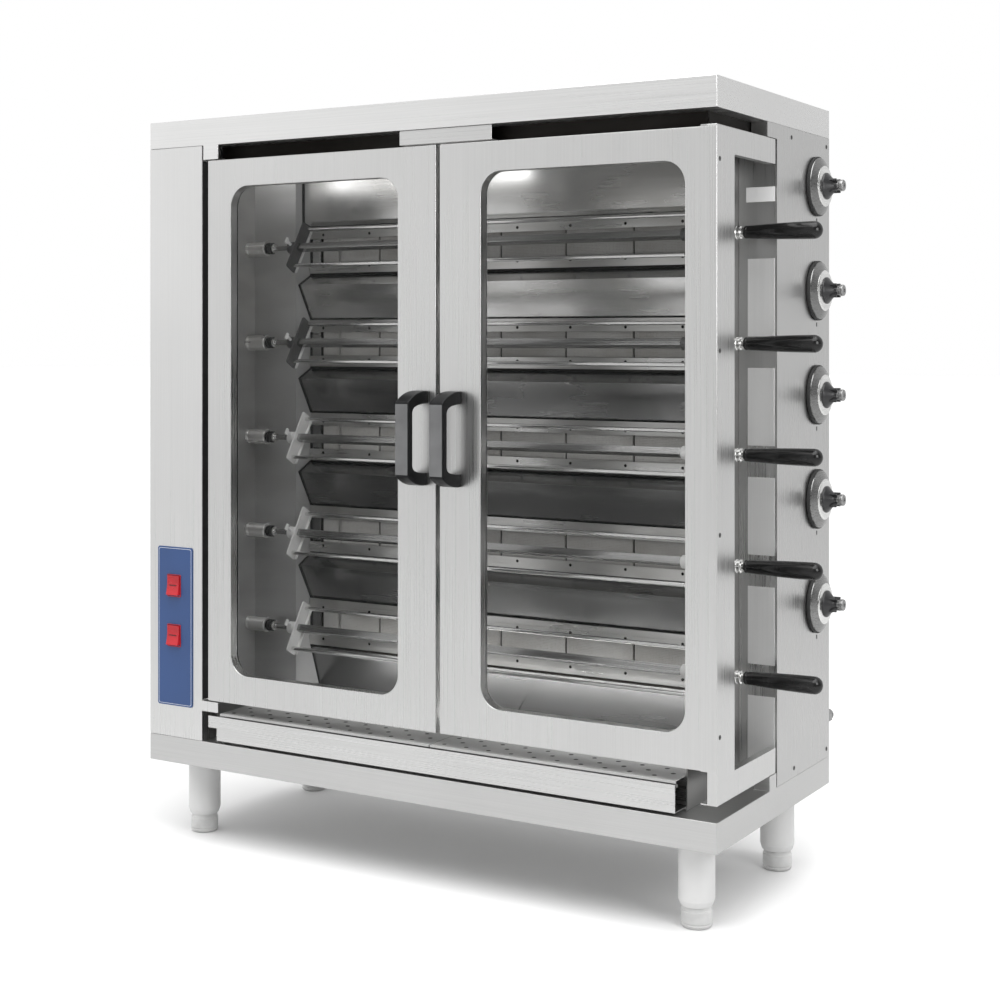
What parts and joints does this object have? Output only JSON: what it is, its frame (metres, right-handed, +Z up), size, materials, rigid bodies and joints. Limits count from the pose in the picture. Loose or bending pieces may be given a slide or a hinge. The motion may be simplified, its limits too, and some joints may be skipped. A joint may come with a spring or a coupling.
{
  "type": "rotisserie oven",
  "caption": "Commercial gas rotisserie oven: steel cabinet on legs, hinged glass doors, horizontal driven spits with side handles, gas controls, drip tray.",
  "frame": {"origin": "on the floor, under the centre of the whole object's box", "axes": "+Z up, -Y towards the doors, +X towards the spit handles and gas knobs"},
  "size_m": [1.327, 0.644, 1.412],
  "materials": {
    "stainless": "brushed, satin",
    "leg_steel": "satin light grey",
    "foot_grey": "satin",
    "chamber_steel": "polished, heat darkened",
    "burner_ceramic": "matte ceramic tile face in a steel box",
    "gas_brass": "satin",
    "dial_metal": "turned, partly black",
    "blue_panel": "satin",
    "red_plastic": "glossy",
    "black_plastic": "semi-gloss",
    "door_glass": "clear",
    "spit_steel": "polished stainless",
    "drive_steel": "oiled"
  },
  "bodies": {
    "cabinet": {"base_frame": "stainless", "leg_sleeve_front_left": "leg_steel", "leg_sleeve_rear_left": "leg_steel", "leg_sleeve_front_right": "leg_steel", "leg_sleeve_rear_right": "leg_steel", "left_side_panel": "stainless", "front_column": "stainless", "right_side_panel": "stainless", "back_panel": "stainless", "top_cover": "stainless", "top_rail": "stainless", "chamber_left_wall": "chamber_steel", "chamber_right_wall": "stainless", "chamber_ceiling": "chamber_steel", "rear_reflector": "chamber_steel", "burner_1": "burner_ceramic", "burner_2": "burner_ceramic", "burner_3": "burner_ceramic", "burner_4": "burner_ceramic", "burner_5": "burner_ceramic", "gas_manifold": "gas_brass", "control_panel": "blue_panel", "bearing_bar": "drive_steel", "gear_motor": "drive_steel", "drive_chain": "drive_steel"},
    "left_door": {"left_door_frame": "stainless", "left_door_glass": "door_glass", "left_door_handle": "black_plastic"},
    "right_door": {"right_door_frame": "stainless", "right_door_glass": "door_glass", "right_door_handle": "black_plastic"},
    "tray": {"drip_tray": "stainless", "drip_grid": "stainless"},
    "motor_drive": {"motor_sprocket": "drive_steel"},
    "spit_drive_1": {"drive_spindle_1": "spit_steel"},
    "spit_body_1": {"spit_1": "spit_steel", "spit_handle_1": "black_plastic"},
    "knob_body_1": {"gas_knob_1": "dial_metal"},
    "spit_drive_2": {"drive_spindle_2": "spit_steel"},
    "spit_body_2": {"spit_2": "spit_steel", "spit_handle_2": "black_plastic"},
    "knob_body_2": {"gas_knob_2": "dial_metal"},
    "spit_drive_3": {"drive_spindle_3": "spit_steel"},
    "spit_body_3": {"spit_3": "spit_steel", "spit_handle_3": "black_plastic"},
    "knob_body_3": {"gas_knob_3": "dial_metal"},
    "spit_drive_4": {"drive_spindle_4": "spit_steel"},
    "spit_body_4": {"spit_4": "spit_steel", "spit_handle_4": "black_plastic"},
    "knob_body_4": {"gas_knob_4": "dial_metal"},
    "spit_drive_5": {"drive_spindle_5": "spit_steel"},
    "spit_body_5": {"spit_5": "spit_steel", "spit_handle_5": "black_plastic"},
    "knob_body_5": {"gas_knob_5": "dial_metal"},
    "rocker_body_1": {"rocker_switch_1": "red_plastic"},
    "rocker_body_2": {"rocker_switch_2": "red_plastic"},
    "foot_front_left": {"levelling_foot_front_left": "foot_grey"},
    "foot_rear_left": {"levelling_foot_rear_left": "foot_grey"},
    "foot_front_right": {"levelling_foot_front_right": "foot_grey"},
    "foot_rear_right": {"levelling_foot_rear_right": "foot_grey"}
  },
  "joints": [
    {"name": "left_door_hinge", "type": "hinge", "parent": "cabinet", "child": "left_door", "pos_m": [-0.5075, -0.248, 0.8], "axis": [0, 0, -1], "range_deg": [0, 110]},
    {"name": "right_door_hinge", "type": "hinge", "parent": "cabinet", "child": "right_door", "pos_m": [0.5435, -0.0205, 0.8], "axis": [0, 0, 1], "range_deg": [0, 110]},
    {"name": "drip_tray_slide", "type": "slide", "parent": "cabinet", "child": "tray", "axis": [0, -1, 0], "range_m": [0, 0.28]},
    {"name": "spit_turn_1", "type": "hinge", "parent": "cabinet", "child": "spit_drive_1", "pos_m": [-0.5715, -0.065, 0.4], "axis": [1, 0, 0], "continuous": true},
    {"name": "spit_slide_1", "type": "slide", "parent": "spit_drive_1", "child": "spit_body_1", "axis": [1, 0, 0], "range_m": [0, 0.045]},
    {"name": "gas_knob_turn_1", "type": "hinge", "parent": "cabinet", "child": "knob_body_1", "pos_m": [0.5565, 0.194, 0.497], "axis": [-1, 0, 0], "range_deg": [0, 180]},
    {"name": "spit_turn_2", "type": "hinge", "parent": "cabinet", "child": "spit_drive_2", "pos_m": [-0.5715, -0.065, 0.592], "axis": [1, 0, 0], "continuous": true},
    {"name": "spit_slide_2", "type": "slide", "parent": "spit_drive_2", "child": "spit_body_2", "axis": [1, 0, 0], "range_m": [0, 0.045]},
    {"name": "gas_knob_turn_2", "type": "hinge", "parent": "cabinet", "child": "knob_body_2", "pos_m": [0.5565, 0.194, 0.689], "axis": [-1, 0, 0], "range_deg": [0, 180]},
    {"name": "spit_turn_3", "type": "hinge", "parent": "cabinet", "child": "spit_drive_3", "pos_m": [-0.5715, -0.065, 0.784], "axis": [1, 0, 0], "continuous": true},
    {"name": "spit_slide_3", "type": "slide", "parent": "spit_drive_3", "child": "spit_body_3", "axis": [1, 0, 0], "range_m": [0, 0.045]},
    {"name": "gas_knob_turn_3", "type": "hinge", "parent": "cabinet", "child": "knob_body_3", "pos_m": [0.5565, 0.194, 0.881], "axis": [-1, 0, 0], "range_deg": [0, 180]},
    {"name": "spit_turn_4", "type": "hinge", "parent": "cabinet", "child": "spit_drive_4", "pos_m": [-0.5715, -0.065, 0.976], "axis": [1, 0, 0], "continuous": true},
    {"name": "spit_slide_4", "type": "slide", "parent": "spit_drive_4", "child": "spit_body_4", "axis": [1, 0, 0], "range_m": [0, 0.045]},
    {"name": "gas_knob_turn_4", "type": "hinge", "parent": "cabinet", "child": "knob_body_4", "pos_m": [0.5565, 0.194, 1.073], "axis": [-1, 0, 0], "range_deg": [0, 180]},
    {"name": "spit_turn_5", "type": "hinge", "parent": "cabinet", "child": "spit_drive_5", "pos_m": [-0.5715, -0.065, 1.168], "axis": [1, 0, 0], "continuous": true},
    {"name": "spit_slide_5", "type": "slide", "parent": "spit_drive_5", "child": "spit_body_5", "axis": [1, 0, 0], "range_m": [0, 0.045]},
    {"name": "gas_knob_turn_5", "type": "hinge", "parent": "cabinet", "child": "knob_body_5", "pos_m": [0.5565, 0.194, 1.265], "axis": [-1, 0, 0], "range_deg": [0, 180]},
    {"name": "motor_turn", "type": "hinge", "parent": "cabinet", "child": "motor_drive", "pos_m": [-0.6355, -0.065, 0.265], "axis": [1, 0, 0], "continuous": true},
    {"name": "rocker_1_tilt", "type": "hinge", "parent": "cabinet", "child": "rocker_body_1", "pos_m": [-0.599, -0.257, 0.401], "axis": [1, 0, 0], "range_deg": [0, 12]},
    {"name": "rocker_2_tilt", "type": "hinge", "parent": "cabinet", "child": "rocker_body_2", "pos_m": [-0.599, -0.257, 0.499], "axis": [1, 0, 0], "range_deg": [0, 12]},
    {"name": "foot_front_left_screw", "type": "slide", "parent": "cabinet", "child": "foot_front_left", "axis": [0, 0, 1], "range_m": [-0.03, 0]},
    {"name": "foot_rear_left_screw", "type": "slide", "parent": "cabinet", "child": "foot_rear_left", "axis": [0, 0, 1], "range_m": [-0.03, 0]},
    {"name": "foot_front_right_screw", "type": "slide", "parent": "cabinet", "child": "foot_front_right", "axis": [0, 0, 1], "range_m": [-0.03, 0]},
    {"name": "foot_rear_right_screw", "type": "slide", "parent": "cabinet", "child": "foot_rear_right", "axis": [0, 0, 1], "range_m": [-0.03, 0]}
  ],
  "couplings": [
    {"joint": "spit_turn_2", "follows": "spit_turn_1", "ratio": 1},
    {"joint": "spit_turn_3", "follows": "spit_turn_1", "ratio": 1},
    {"joint": "spit_turn_4", "follows": "spit_turn_1", "ratio": 1},
    {"joint": "spit_turn_5", "follows": "spit_turn_1", "ratio": 1},
    {"joint": "motor_turn", "follows": "spit_turn_1", "ratio": 1}
  ]
}
